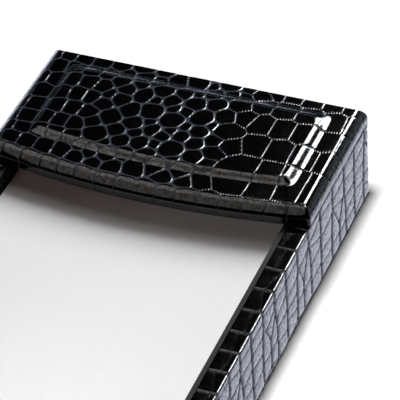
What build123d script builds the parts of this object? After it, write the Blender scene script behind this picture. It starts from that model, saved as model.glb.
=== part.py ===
from build123d import *
import math
import os

# Memo holder: a tray of leather-wrapped boards with a low, dished front, a padded leather lid fixed
# over its back third, and loose memo sheets inside. Millimetres; +X right, +Y to the back, +Z up.
# The origin lies below the middle of the tray, on the surface that the felt stands on.

# Memo sheets, and the room round them
sheet_width = 101.6
sheet_length = 152.4
sheet_thickness = 0.12
stack_height = 19.7
sheet_side_clearance = 0.8
sheet_end_clearance = 1.4
lid_headroom = 6.5

# Boards and skins of the tray
leather_thickness = 0.8
wall_board_thickness = 6.2
liner_thickness = 1.6
liner_drop = 0.4
floor_board_thickness = 3.2
floor_rebate_depth = 3.0
floor_liner_thickness = 0.8
felt_thickness = 1.2
felt_inset = 1.5
edge_radius = 1.5

# Front wall: its top edge lies below the top sheet and dips in one arc
lip_drop = 2.4
lip_dip = 9.0

# Lid: leather over a foam pad and a board, with a raised panel in the middle of its top
lid_side_depth = 59.6
lid_bow = 6.2
lid_board_thickness = 3.2
lid_pad_thickness = 1.6
lid_turn_under = 12.0
roll_width = 3.8
front_roll_width = 5.2
panel_height = 1.4
panel_slope_width = 1.7
panel_side_inset = 11.2
panel_back_inset = 8.0
panel_front_inset = 13.8
panel_corner_radius = 2.4

# Flat loose tongues, glued into slots, join the walls to each other and the lid to the walls
tongue_thickness = 2.0
tongue_margin = 3.0
corner_tongue_depth = 4.0
corner_tongue_reach = 10.0
lid_tongue_length = 12.0
lid_tongue_depth = 10.0
lid_tongue_reach = 2.4

# Shares: places along a wall, and the section of the lid's rolled edge from its side to its crease
lid_tongue_depth_shares = (0.3, 0.75)
lid_tongue_width_share = 0.4
roll_inset_shares = (0.0, 0.12, 0.4, 1.0)
roll_height_shares = (0.0, 0.4, 0.72, 1.0)
edge_lift_share = 0.5
crease_shift_share = 0.25
slope_shift_share = 0.36

# Tray sizes that follow from the sheets and the skins
plank_thickness = wall_board_thickness + 2 * leather_thickness
inner_width = sheet_width + 2 * sheet_side_clearance
inner_length = sheet_length + 2 * sheet_end_clearance
plank_gap_width = inner_width + 2 * liner_thickness
plank_gap_length = inner_length + 2 * liner_thickness
outer_width = plank_gap_width + 2 * plank_thickness
outer_length = plank_gap_length + 2 * plank_thickness
half_width = outer_width / 2
half_length = outer_length / 2
half_gap_width = plank_gap_width / 2
half_gap_length = plank_gap_length / 2
board_edge_radius = edge_radius - leather_thickness

# Heights, from the table up
floor_board_top = felt_thickness + floor_board_thickness
floor_top = floor_board_top + floor_liner_thickness
sheet_bottom = floor_top + stack_height
sheet_top = sheet_bottom + sheet_thickness
rim_height = sheet_top + lid_headroom
lip_end_height = sheet_bottom - lip_drop
lid_board_bottom = rim_height + leather_thickness
lid_board_top = lid_board_bottom + lid_board_thickness
lid_pad_top = lid_board_top + lid_pad_thickness
lid_panel_top = lid_pad_top + panel_height
lid_edge_height = lid_board_top + edge_lift_share * leather_thickness
lid_crease_height = lid_pad_top + leather_thickness
lid_top = lid_crease_height + panel_height

# The lid's front edge is an arc about a centre behind the tray
bow_radius = (half_width ** 2 + lid_bow ** 2) / (2 * lid_bow)
bow_centre_y = half_length - lid_side_depth - lid_bow + bow_radius


def block(x_span, y_span, z_span):
    """A box between two ends along each axis."""
    sizes = [high - low for low, high in (x_span, y_span, z_span)]
    corner = [low for low, high in (x_span, y_span, z_span)]
    return Pos(*corner) * Box(*sizes, align=(Align.MIN, Align.MIN, Align.MIN))


def drawn_in(span, amount):
    """A span made shorter by the same amount at both ends."""
    return (span[0] + amount, span[1] - amount)


def round_edges(solid, radius, planes):
    """Rounds each edge that lies in two of the given planes, each an axis and a place along it."""
    def meets(edge):
        box = edge.bounding_box()
        near = 0
        for axis, place in planes:
            low, high = getattr(box.min, axis), getattr(box.max, axis)
            near += math.isclose(low, place, abs_tol=radius) and math.isclose(high, place, abs_tol=radius)
        return near > 1
    return fillet(solid.edges().filter_by(meets), radius)


def side_wall():
    """Right wall: a board wrapped in leather on every side, over the full length of the tray."""
    x_span = (half_gap_width, half_width)
    y_span = (-half_length, half_length)
    z_span = (felt_thickness, rim_height)
    outer = block(x_span, y_span, z_span)
    outer_planes = (("X", half_width), ("Y", -half_length), ("Y", half_length), ("Z", rim_height))
    outer = round_edges(outer, edge_radius, outer_planes)
    spans = [drawn_in(span, leather_thickness) for span in (x_span, y_span, z_span)]
    board_planes = (("X", spans[0][1]), ("Y", spans[1][0]), ("Y", spans[1][1]), ("Z", spans[2][1]))
    board = round_edges(block(*spans), board_edge_radius, board_planes)
    return board, outer - board


def back_wall():
    """Back wall: a board between the side walls, wrapped over its faces, top and bottom."""
    x_span = (-half_gap_width, half_gap_width)
    y_span = (half_gap_length, half_length)
    z_span = (felt_thickness, rim_height)
    outer = block(x_span, y_span, z_span)
    outer = round_edges(outer, edge_radius, (("Y", half_length), ("Z", rim_height)))
    y_board, z_board = drawn_in(y_span, leather_thickness), drawn_in(z_span, leather_thickness)
    board = block(x_span, y_board, z_board)
    board = round_edges(board, board_edge_radius, (("Y", y_board[1]), ("Z", z_board[1])))
    return board, outer - board


def dished_panel(half_span, y_span, bottom, drop):
    """A panel across the front whose top edge follows the dip, lowered by a given drop."""
    end_height = lip_end_height - drop
    curve_radius = (half_gap_width ** 2 + lip_dip ** 2) / (2 * lip_dip)
    centre_height = lip_end_height - lip_dip + curve_radius - drop
    corner_height = centre_height - math.sqrt(curve_radius ** 2 - half_span ** 2)
    sides = Polyline((half_span, corner_height), (half_span, bottom), (-half_span, bottom),
                     (-half_span, corner_height))
    dip = ThreePointArc((-half_span, corner_height), (0, end_height - lip_dip), (half_span, corner_height))
    face = Plane.XZ.offset(-y_span[0]) * make_face(sides + dip)
    return extrude(face, y_span[0] - y_span[1])


def front_wall():
    """Front wall: a low board between the side walls, wrapped over its faces, dished top and bottom."""
    y_span = (-half_length, -half_gap_length)
    outer = dished_panel(half_gap_width, y_span, felt_thickness, 0)
    front_edge = outer.faces().sort_by(Axis.Y)[0].edges().filter_by(GeomType.CIRCLE)
    outer = fillet(front_edge, edge_radius)
    y_board = drawn_in(y_span, leather_thickness)
    board = dished_panel(half_gap_width, y_board, felt_thickness + leather_thickness, leather_thickness)
    board_edge = board.faces().sort_by(Axis.Y)[0].edges().filter_by(GeomType.CIRCLE)
    board = fillet(board_edge, board_edge_radius)
    return board, outer - board


def lid_outline(side, back, front, corner, height):
    """The lid's bowed outline at a height, drawn in by an inset on each side, with round corners."""
    x = half_width - side
    radius = bow_radius - front
    y_back = half_length - back
    y_corner = bow_centre_y - math.sqrt(radius ** 2 - x ** 2)
    straight = Polyline((-x, y_corner), (-x, y_back), (x, y_back), (x, y_corner))
    bow = ThreePointArc((x, y_corner), (0, bow_centre_y - radius), (-x, y_corner))
    face = make_face(straight + bow)
    return Pos(0, 0, height) * fillet(face.vertices(), corner)


def rolled_edge(skin, edge_height, crease_height, shift):
    """The lid's rolled edge, from its upright side to its crease, under a skin of a given thickness."""
    sections = []
    for inset_share, height_share in zip(roll_inset_shares, roll_height_shares):
        side = skin + inset_share * (roll_width + shift - skin)
        front = skin + inset_share * (front_roll_width + shift - skin)
        height = edge_height + height_share * (crease_height - edge_height)
        sections.append(lid_outline(side, side, front, edge_radius - skin, height))
    return loft(sections, ruled=True)


def raised_panel(shift, bottom, top):
    """The raised field on the lid, with sloping edges."""
    sections = []
    for inset, height in ((shift, bottom), (shift + panel_slope_width, top)):
        insets = (panel_side_inset + inset, panel_back_inset + inset, panel_front_inset + inset)
        sections.append(lid_outline(*insets, panel_corner_radius - inset, height))
    return loft(sections, ruled=True)


def lid():
    """The lid's board, pad, panel, lining and the leather that wraps them."""
    board = extrude(lid_outline(leather_thickness, leather_thickness, leather_thickness,
                                board_edge_radius, lid_board_bottom), lid_board_thickness)
    crease_shift = crease_shift_share * leather_thickness
    pad = rolled_edge(leather_thickness, lid_board_top, lid_pad_top, crease_shift)
    panel = raised_panel(slope_shift_share * leather_thickness, lid_pad_top, lid_panel_top)
    lining = extrude(lid_outline(lid_turn_under, lid_turn_under, lid_turn_under,
                                 edge_radius, rim_height), leather_thickness)
    outer = extrude(lid_outline(0, 0, 0, edge_radius, rim_height), lid_edge_height - rim_height)
    outer += rolled_edge(0, lid_edge_height, lid_crease_height, 0)
    outer += raised_panel(0, lid_crease_height, lid_top)
    leather = outer - board - pad - panel - lining
    return board, pad, panel, lining, leather


def tongue(x_place, y_place, x_reach, y_reach, z_span):
    """A flat strip about a place in plan, reaching evenly along X and Y, between two heights."""
    x_span = (x_place - x_reach / 2, x_place + x_reach / 2)
    y_span = (y_place - y_reach / 2, y_place + y_reach / 2)
    return block(x_span, y_span, z_span)


def corner_tongues():
    """Upright tongues across the tray's corners, from each side wall into the back and front walls."""
    near = half_gap_width - corner_tongue_reach
    far = half_gap_width + leather_thickness + corner_tongue_depth
    solids = []
    for y_sign, wall_height in ((1, rim_height), (-1, lip_end_height - lip_dip)):
        y = y_sign * (half_length - plank_thickness / 2)
        z_span = (floor_board_top, wall_height - tongue_margin)
        for side in (1, -1):
            solids.append(tongue(side * (near + far) / 2, y, far - near, tongue_thickness, z_span))
    return solids


def lid_tongues():
    """Upright tongues from the side and back walls into the lid's board."""
    wall_x = half_width - plank_thickness / 2
    wall_y = half_length - plank_thickness / 2
    z_span = (rim_height - lid_tongue_depth, lid_board_bottom + lid_tongue_reach)
    solids = []
    for side in (1, -1):
        for share in lid_tongue_depth_shares:
            y = half_length - share * lid_side_depth
            solids.append(tongue(side * wall_x, y, tongue_thickness, lid_tongue_length, z_span))
        x = side * lid_tongue_width_share * half_width
        solids.append(tongue(x, wall_y, lid_tongue_length, tongue_thickness, z_span))
    return solids


def liners():
    """Panels glued to the inside of the walls, standing on the floor's liner."""
    z_span = (floor_top, rim_height - liner_drop)
    right = block((inner_width / 2, half_gap_width), (-half_gap_length, half_gap_length), z_span)
    back = block((-inner_width / 2, inner_width / 2), (inner_length / 2, half_gap_length), z_span)
    front = dished_panel(inner_width / 2, (-half_gap_length, -inner_length / 2), floor_top, liner_drop)
    return right, mirror(right, about=Plane.YZ), back, front


nodes = {}

# Floor of the tray, set into a rebate along the foot of each wall
floor_reach = leather_thickness + floor_rebate_depth
floor_x = (-half_gap_width - floor_reach, half_gap_width + floor_reach)
floor_y = (-half_gap_length - floor_reach, half_gap_length + floor_reach)
nodes["floor_board"] = block(floor_x, floor_y, (felt_thickness, floor_board_top))
nodes["floor_liner"] = block((-half_gap_width, half_gap_width), (-half_gap_length, half_gap_length),
                             (floor_board_top, floor_top))

# Walls
right_board, right_leather = side_wall()
nodes["right_wall_board"], nodes["right_wall_leather"] = right_board, right_leather
nodes["left_wall_board"] = mirror(right_board, about=Plane.YZ)
nodes["left_wall_leather"] = mirror(right_leather, about=Plane.YZ)
nodes["back_wall_board"], nodes["back_wall_leather"] = back_wall()
nodes["front_wall_board"], nodes["front_wall_leather"] = front_wall()
nodes["right_liner"], nodes["left_liner"], nodes["back_liner"], nodes["front_liner"] = liners()

# Lid
lid_names = ("lid_board", "lid_pad", "lid_panel", "lid_lining", "lid_leather")
nodes.update(zip(lid_names, lid()))

# The tongues' slots and the floor's rebate are cut in the pieces that they join
for name in nodes:
    if "_wall_" in name:
        nodes[name] = nodes[name] - [nodes["floor_board"]] - corner_tongues() - lid_tongues()
for name in ("lid_board", "lid_leather"):
    nodes[name] = nodes[name] - lid_tongues()
nodes["corner_tongues"] = Compound(corner_tongues())
nodes["lid_tongues"] = Compound(lid_tongues())

# Felt under the tray, and the sheets inside it
felt_x = drawn_in((-half_width, half_width), felt_inset)
felt_y = drawn_in((-half_length, half_length), felt_inset)
felt = block(felt_x, felt_y, (0, felt_thickness))
nodes["base_felt"] = fillet(felt.edges().filter_by(Axis.Z), edge_radius)
sheet_x = (-sheet_width / 2, sheet_width / 2)
sheet_y = (-sheet_length / 2, sheet_length / 2)
nodes["memo_stack"] = block(sheet_x, sheet_y, (floor_top, sheet_bottom))
nodes["top_sheet"] = block(sheet_x, sheet_y, (sheet_bottom, sheet_top))

os.makedirs("parts", exist_ok=True)
for name, solid in nodes.items():
    export_step(solid, f"parts/{name}.step")
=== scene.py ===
# %% [markdown]
# # A memo holder of embossed black leather
# The real thing is a desk tray of leather-covered boards with a padded lid over its back third and
# loose sheets inside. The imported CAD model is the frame: its boards, liners and top sheet stay where
# they are. The leather is what the eye sees, so its five skins are rebuilt here as dense meshes
# with the embossing as real relief, and the block of sheets is rebuilt as loose layers.

# %% Load the frame
import math
import bpy
import numpy as np
from mathutils import Matrix, Vector


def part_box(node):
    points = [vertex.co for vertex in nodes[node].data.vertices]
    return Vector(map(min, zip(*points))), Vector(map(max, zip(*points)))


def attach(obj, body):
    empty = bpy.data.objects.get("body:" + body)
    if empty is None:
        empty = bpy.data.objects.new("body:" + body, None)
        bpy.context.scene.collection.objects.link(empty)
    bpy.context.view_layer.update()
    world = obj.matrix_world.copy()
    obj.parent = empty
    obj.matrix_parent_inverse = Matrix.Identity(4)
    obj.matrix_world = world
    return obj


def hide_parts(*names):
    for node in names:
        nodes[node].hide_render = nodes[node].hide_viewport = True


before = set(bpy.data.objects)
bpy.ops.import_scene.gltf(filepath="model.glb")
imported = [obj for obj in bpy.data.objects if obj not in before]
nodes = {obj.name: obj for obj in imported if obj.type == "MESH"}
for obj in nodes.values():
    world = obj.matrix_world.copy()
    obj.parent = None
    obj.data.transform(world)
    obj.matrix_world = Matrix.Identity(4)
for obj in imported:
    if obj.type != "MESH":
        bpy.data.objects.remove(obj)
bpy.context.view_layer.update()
MM = 0.001

# %% [markdown]
# ## Camera
# The photograph was taken from the front right, well above the tray, with a long lens. Its place
# comes from a fit to the lid's corners, the seam and the wall's edges. The whole orientation is
# built from three angles, so the slight roll of the picture stays visible as a number.

# %% Camera
CAMERA_PLACE = Vector((0.31020, -0.60977, 0.62071))
CAMERA_AZIMUTH = math.radians(24.436)
CAMERA_ELEVATION = math.radians(40.014)
CAMERA_ROLL = math.radians(-4.022)
SENSOR_WIDTH = 36.0
FOCAL_LENGTH = 239.6

flat_right = Vector((math.cos(CAMERA_AZIMUTH), math.sin(CAMERA_AZIMUTH), 0))
forward = Vector((-math.sin(CAMERA_AZIMUTH) * math.cos(CAMERA_ELEVATION),
                  math.cos(CAMERA_AZIMUTH) * math.cos(CAMERA_ELEVATION), -math.sin(CAMERA_ELEVATION)))
flat_up = flat_right.cross(forward)
right = flat_right * math.cos(CAMERA_ROLL) + flat_up * math.sin(CAMERA_ROLL)
up = right.cross(forward)

camera_data = bpy.data.cameras.new("photo_camera")
camera_data.sensor_width = SENSOR_WIDTH
camera_data.lens = FOCAL_LENGTH
camera = bpy.data.objects.new("photo_camera", camera_data)
camera_turn = Matrix((right, up, -forward)).transposed().to_4x4()
camera.matrix_world = Matrix.Translation(CAMERA_PLACE) @ camera_turn
bpy.context.scene.collection.objects.link(camera)
bpy.context.scene.camera = camera
print("camera looks along", [round(v, 3) for v in forward])

# %% [markdown]
# ## Floor and light
# Glossy black leather is drawn by what it mirrors. A large soft box behind the tray gives the white
# lines along every edge that leans to the right. It fades towards its edges, as the cloth of a real
# one does. Two dim strips overhead, which only reflections see, give the brown sheen of the lid's
# front roll. Three lamps light the sheets and never show in the leather. The room stays dark, so
# that flat leather is black, but for a faint ring of glow low behind the tray, which the back of the
# lid's panel mirrors. The floor has a lamp of its own through light linking: it stays white, and
# only the short shadow at the tray's foot falls on it.

# %% Node helper
def add_node(tree, kind, inputs=(), **settings):
    """Adds a node with its settings, and gives each named input a value or a link from another node."""
    node = tree.nodes.new(kind)
    for name, value in settings.items():
        setattr(node, name, value)
    for name, value in dict(inputs).items():
        if isinstance(value, bpy.types.NodeSocket):
            tree.links.new(value, node.inputs[name])
        else:
            node.inputs[name].default_value = value
    return node


print("node helper ready")

# %% Lamp helpers
LAMP_MIDDLE = 0.5


def soft_box(name, target, away, distance, long_way, size, radiance, colour):
    """A rectangular lamp that faces a target from some way off, its second side along a given way."""
    lamp = bpy.data.lights.new(name, "AREA")
    lamp.shape = "RECTANGLE"
    lamp.size, lamp.size_y = size
    lamp.energy = radiance * math.pi * size[0] * size[1]
    lamp.color = colour
    box = bpy.data.objects.new(name, lamp)
    back = Vector(away).normalized()
    side = Vector(long_way).cross(back).normalized()
    turn = Matrix((side, back.cross(side), back)).transposed().to_4x4()
    box.matrix_world = Matrix.Translation(Vector(target) + distance * back) @ turn
    bpy.context.scene.collection.objects.link(box)
    return box


def soften_edges(box, share):
    """Lets a lamp fade towards its four edges, as the cloth of a real soft box does."""
    box.data.use_nodes = True
    tree = box.data.node_tree
    on_lamp = add_node(tree, "ShaderNodeNewGeometry").outputs["Parametric"]
    place = add_node(tree, "ShaderNodeSeparateXYZ", {"Vector": on_lamp})
    fades = []
    for axis in "XY":
        fold = add_node(tree, "ShaderNodeMath", {0: place.outputs[axis], 1: LAMP_MIDDLE},
                        operation="PINGPONG")
        fade = add_node(tree, "ShaderNodeMapRange", {"Value": fold.outputs["Value"], "From Max": share},
                        interpolation_type="SMOOTHSTEP")
        fades.append(fade.outputs["Result"])
    both = add_node(tree, "ShaderNodeMath", dict(enumerate(fades)), operation="MULTIPLY")
    tree.links.new(both.outputs["Value"], tree.nodes["Emission"].inputs["Strength"])


print("lamp helpers ready")

# %% Floor
FLOOR_HALF = 2.0
floor_mesh = bpy.data.meshes.new("floor")
floor_mesh.from_pydata([(-FLOOR_HALF, -FLOOR_HALF, 0), (FLOOR_HALF, -FLOOR_HALF, 0),
                        (FLOOR_HALF, FLOOR_HALF, 0), (-FLOOR_HALF, FLOOR_HALF, 0)], [], [(0, 1, 2, 3)])
floor = bpy.data.objects.new("floor", floor_mesh)
bpy.context.scene.collection.objects.link(floor)
print("floor:", 2 * FLOOR_HALF, "m wide")

# %% Lamps
LID_MIDDLE = (0.0, 0.05, 0.035)
PAGE_FRONT = (0.01, -0.12, 0.025)
FLOOR_MIDDLE = (-0.09, -0.05, 0.0)
UPWARD, BACKWARD = (0, 0, 1), (0, 1, 0)
WARM_WHITE = (1.0, 0.95, 0.90)
SOFT_BOX_EDGE = 0.22
PAGE_LAMP_SPREAD = math.radians(17)
LAMPS = {
    "back_soft_box": dict(target=LID_MIDDLE, away=(0.045, 0.76, 0.65), distance=3.0, long_way=UPWARD,
                          size=(1.56, 2.30), radiance=17.0, colour=(0.97, 0.99, 1.0)),
    "front_strip": dict(target=LID_MIDDLE, away=(-0.32, -0.17, 0.93), distance=1.1, long_way=(0, 0.98, 0.17),
                        size=(0.8, 1.3), radiance=0.36, colour=WARM_WHITE),
    "top_strip": dict(target=LID_MIDDLE, away=(-0.33, 0.17, 0.93), distance=1.1, long_way=(0, 0.98, -0.17),
                      size=(0.8, 0.42), radiance=0.50, colour=WARM_WHITE),
    "page_fill": dict(target=PAGE_FRONT, away=(-0.15, -0.80, 0.55), distance=1.0, long_way=UPWARD,
                      size=(0.6, 0.6), radiance=0.7, colour=(1.0, 0.66, 0.62)),
    "high_fill": dict(target=LID_MIDDLE, away=(0.0, 0.30, 0.95), distance=1.5, long_way=BACKWARD,
                      size=(0.6, 0.6), radiance=1.7, colour=(1.0, 0.99, 0.98)),
    "side_panel": dict(target=LID_MIDDLE, away=(0.62, 0.74, 0.28), distance=2.0, long_way=UPWARD,
                       size=(0.95, 1.2), radiance=0.22, colour=(0.85, 0.92, 1.0)),
    "page_lamp": dict(target=PAGE_FRONT, away=(-0.18, -0.76, 0.63), distance=0.55, long_way=UPWARD,
                      size=(0.08, 0.08), radiance=0.95, colour=(1.0, 0.99, 1.0)),
    "floor_lamp": dict(target=FLOOR_MIDDLE, away=UPWARD, distance=2.0, long_way=BACKWARD,
                       size=(0.32, 0.40), radiance=118.0, colour=(1.0, 0.99, 0.97)),
}

lamps = {name: soft_box(name, **values) for name, values in LAMPS.items()}
soften_edges(lamps["back_soft_box"], SOFT_BOX_EDGE)
lamps["page_lamp"].data.spread = PAGE_LAMP_SPREAD
for name in ("front_strip", "top_strip"):
    lamps[name].visible_diffuse = False
for name in ("page_fill", "high_fill", "page_lamp"):
    lamps[name].visible_glossy = False
print("lamps:", list(lamps))

# %% Light linking
lit_by_floor_lamp = bpy.data.collections.new("lit_by_floor_lamp")
lit_by_floor_lamp.objects.link(floor)
not_lit_by_boxes = bpy.data.collections.new("not_lit_by_boxes")
not_lit_by_boxes.objects.link(floor)
not_lit_by_boxes.collection_objects[0].light_linking.link_state = "EXCLUDE"
for name, lamp in lamps.items():
    receivers = lit_by_floor_lamp if name == "floor_lamp" else not_lit_by_boxes
    lamp.light_linking.receiver_collection = receivers
print("the floor is lit by floor_lamp alone")

# %% Dark room
GLOW_START, GLOW_LOW, GLOW_HIGH, GLOW_END = 0.28, 0.30, 0.325, 0.35
GLOW_IN_FRONT, GLOW_FULL_BEHIND = 0.1, 0.4
LOW_DUSK, GLOW, NIGHT = (0.03, 0.035, 0.045, 1), (0.30, 0.35, 0.46, 1), (0.003, 0.0035, 0.0045, 1)
room = bpy.data.worlds.new("dark_room")
bpy.context.scene.world = room
room.use_nodes = True
sky = room.node_tree
sky_place = add_node(sky, "ShaderNodeTexCoord").outputs["Generated"]
sky_way = add_node(sky, "ShaderNodeSeparateXYZ", {"Vector": sky_place})
sky_ramp = add_node(sky, "ShaderNodeValToRGB", {"Fac": sky_way.outputs["Z"]})
sky_back = add_node(sky, "ShaderNodeMapRange", {"Value": sky_way.outputs["Y"], "To Min": GLOW_IN_FRONT,
                                                "From Max": GLOW_FULL_BEHIND})
sky.links.new(sky_ramp.outputs["Color"], sky.nodes["Background"].inputs["Color"])
sky.links.new(sky_back.outputs["Result"], sky.nodes["Background"].inputs["Strength"])
stops = sky_ramp.color_ramp.elements
stops[0].color = LOW_DUSK
stops[1].position = GLOW_END
stops[1].color = NIGHT
stops.new(GLOW_START).color = LOW_DUSK
for height in (GLOW_LOW, GLOW_HIGH):
    stops.new(height).color = GLOW
bpy.context.scene.view_settings.view_transform = "Standard"
print("room: dark, with a ring of glow from", GLOW_START, "to", GLOW_END, "of the way up")

# %% [markdown]
# ## Shared surface effects
# Leather, felt, board and paper all have a fine structure that breaks up a flat colour. Each
# effect is one node group with named sockets, built once and placed in several materials with
# other values. A group gives only heights and masks; the shader itself stays in the material.

# %% Group and material helpers
VECTOR, NUMBER = "NodeSocketVector", "NodeSocketFloat"


def new_group(name, inputs, outputs):
    """An empty shader group with named sockets, and its two end nodes."""
    group = bpy.data.node_groups.new(name, "ShaderNodeTree")
    for label, kind in inputs:
        group.interface.new_socket(label, in_out="INPUT", socket_type=kind)
    for label in outputs:
        group.interface.new_socket(label, in_out="OUTPUT", socket_type=NUMBER)
    return group, group.nodes.new("NodeGroupInput"), group.nodes.new("NodeGroupOutput")


def place_group(tree, group, place_socket, **values):
    """Puts a group in a material, fed with a place, and sets its other inputs."""
    return add_node(tree, "ShaderNodeGroup", {"Place": place_socket, **values}, node_tree=group)


def new_material(name, **shader_values):
    """A material with one Principled shader, with its tree, its shader and the object's coordinates."""
    material = bpy.data.materials.new(name)
    material.use_nodes = True
    tree = material.node_tree
    shader = tree.nodes["Principled BSDF"]
    for label, value in shader_values.items():
        shader.inputs[label.replace("_", " ")].default_value = value
    place = tree.nodes.new("ShaderNodeTexCoord").outputs["Object"]
    return material, tree, shader, place


def colour_between(tree, mask, low, high):
    """Feeds a mask through a ramp of two colours and returns the ramp's colour."""
    ramp = add_node(tree, "ShaderNodeValToRGB", {"Fac": mask})
    ramp.color_ramp.elements[0].color = (*low, 1)
    ramp.color_ramp.elements[1].color = (*high, 1)
    return ramp.outputs["Color"]


def value_between(tree, mask, low, high, mask_range=(0.0, 1.0)):
    """Spreads a mask's range over another one and returns the value."""
    mask_low, mask_high = mask_range
    ends = {"From Min": mask_low, "From Max": mask_high, "To Min": low, "To Max": high}
    return add_node(tree, "ShaderNodeMapRange", {"Value": mask, **ends}).outputs["Result"]


def add_bump(tree, shader, height, strength, depth):
    """Feeds a height to the shader's normal."""
    bump = add_node(tree, "ShaderNodeBump", {"Height": height, "Strength": strength, "Distance": depth})
    tree.links.new(bump.outputs["Normal"], shader.inputs["Normal"])


print("group and material helpers ready")

# %% [markdown]
# Pores: leather under gloss still shows its grain, small soft pebbles of under half a millimetre,
# stronger in some places than in others, on a slightly wrinkled ground. A smooth Voronoi gives the
# pebbles, a slow noise says where they show, and a middling one is the wrinkles.

# %% Pores group
PORES, ends_in, ends_out = new_group(
    "leather_pores", [("Place", VECTOR), ("Pebbles", NUMBER), ("Wrinkles", NUMBER), ("Clouds", NUMBER)],
    ["Height", "Wrinkle", "Cloud"])
place = ends_in.outputs["Place"]
pebbles = add_node(PORES, "ShaderNodeTexVoronoi", {"Vector": place, "Scale": ends_in.outputs["Pebbles"],
                                                   "Smoothness": 0.6},
                   feature="SMOOTH_F1").outputs["Distance"]
wrinkles = add_node(PORES, "ShaderNodeTexNoise", {"Vector": place, "Scale": ends_in.outputs["Wrinkles"],
                                                  "Detail": 3.0}).outputs["Fac"]
clouds = add_node(PORES, "ShaderNodeTexNoise", {"Vector": place, "Scale": ends_in.outputs["Clouds"],
                                                "Detail": 2.0}).outputs["Fac"]
grain = add_node(PORES, "ShaderNodeMath", {0: pebbles, 1: clouds, 2: wrinkles}, operation="MULTIPLY_ADD")
for label, result in (("Height", grain.outputs["Value"]), ("Wrinkle", wrinkles), ("Cloud", clouds)):
    PORES.links.new(result, ends_out.inputs[label])
print("group:", PORES.name, [s.name for s in PORES.interface.items_tree])

# %% [markdown]
# Fibres: paper, felt, card and fibreboard are all matted fibres. One noise stretched along one
# axis and one along another, added, look like fibres that lie across each other.

# %% Fibres group
FIBRES, ends_in, ends_out = new_group(
    "matted_fibres", [("Place", VECTOR), ("Fineness", NUMBER), ("Stretch", NUMBER)], ["Height", "Fleck"])
place, stretch, fineness = [ends_in.outputs[label] for label in ("Place", "Stretch", "Fineness")]
threads = []
for axis in "XY":
    spread = add_node(FIBRES, "ShaderNodeCombineXYZ", {**dict.fromkeys("XYZ", 1.0), axis: stretch})
    drawn_out = add_node(FIBRES, "ShaderNodeVectorMath", {0: place, 1: spread.outputs["Vector"]},
                         operation="MULTIPLY").outputs["Vector"]
    noise = add_node(FIBRES, "ShaderNodeTexNoise", {"Vector": drawn_out, "Scale": fineness, "Detail": 3.0})
    threads.append(noise.outputs["Fac"])
summed = add_node(FIBRES, "ShaderNodeMath", dict(enumerate(threads)), operation="ADD")
halved = add_node(FIBRES, "ShaderNodeMath", {0: summed.outputs["Value"], 1: 0.5}, operation="MULTIPLY")
for label in ("Height", "Fleck"):
    FIBRES.links.new(halved.outputs["Value"], ends_out.inputs[label])
print("group:", FIBRES.name, [s.name for s in FIBRES.interface.items_tree])

# %% [markdown]
# ## Finishes
# The leather is almost black and lacquered: a grainy coat of dye under a clear, smooth one. Each
# skin's mesh carries two painted attributes. One marks the grooves, which are matt and painted a
# greyish blue: a painted sheen that stands for the cool light the real grooves mirror. The other
# says how much lacquer is left: none in the grooves and on the lid's low front side. The rest is
# matt: a smooth dark liner, cloth under the lid, felt below, white paper, and the boards that nobody
# sees.

# %% Leather
# The grooves' greyish-blue colour is a painted sheen: it stands for cool light mirrored in them.
SCALE_BLACK, GROOVE_PAINTED_SHEEN = (0.0005, 0.0005, 0.0007), (0.044, 0.051, 0.067)
SCALE_ROUGHNESS, GROOVE_ROUGHNESS, CLOUD_ROUGHNESS = 0.06, 0.35, 0.04
SCALE_SHINE, GROOVE_SHINE = 0.5, 0.0
THIN_LACQUER, THICK_LACQUER = 0.1, 1.4
GRAIN_STRENGTH, GRAIN_DEPTH = 0.45, 0.00007
NOISE_RANGE = (0.32, 0.68)

leather, tree, shader, place = new_material("embossed_leather", IOR=1.45, Coat_Roughness=0.08, Coat_IOR=1.72)
pores = place_group(tree, PORES, place, Pebbles=2400.0, Wrinkles=800.0, Clouds=160.0)
groove = add_node(tree, "ShaderNodeAttribute", attribute_name="groove").outputs["Fac"]
lacquered = add_node(tree, "ShaderNodeAttribute", attribute_name="lacquer").outputs["Fac"]
matt = value_between(tree, groove, SCALE_ROUGHNESS, GROOVE_ROUGHNESS)
clouded = value_between(tree, pores.outputs["Cloud"], 0.0, CLOUD_ROUGHNESS, NOISE_RANGE)
rough = add_node(tree, "ShaderNodeMath", {0: matt, 1: clouded}, operation="ADD")
uneven = value_between(tree, pores.outputs["Wrinkle"], THIN_LACQUER, THICK_LACQUER, NOISE_RANGE)
lacquer = add_node(tree, "ShaderNodeMath", {0: lacquered, 1: uneven}, operation="MULTIPLY")
# Base colour: black scales, and grooves in their painted greyish-blue sheen.
tree.links.new(colour_between(tree, groove, SCALE_BLACK, GROOVE_PAINTED_SHEEN), shader.inputs["Base Color"])
tree.links.new(rough.outputs["Value"], shader.inputs["Roughness"])
tree.links.new(lacquer.outputs["Value"], shader.inputs["Coat Weight"])
tree.links.new(value_between(tree, groove, SCALE_SHINE, GROOVE_SHINE), shader.inputs["Specular IOR Level"])
add_bump(tree, shader, pores.outputs["Height"], GRAIN_STRENGTH, GRAIN_DEPTH)
print("finish:", leather.name)


# %% Matt finishes
def fibrous(name, low, high, fineness, stretch, strength, depth, **shader_values):
    """A matt material of matted fibres in two close colours."""
    material, tree, shader, place = new_material(name, **shader_values)
    fibres = place_group(tree, FIBRES, place, Fineness=fineness, Stretch=stretch)
    tree.links.new(colour_between(tree, fibres.outputs["Fleck"], low, high), shader.inputs["Base Color"])
    add_bump(tree, shader, fibres.outputs["Height"], strength, depth)
    return material


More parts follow.
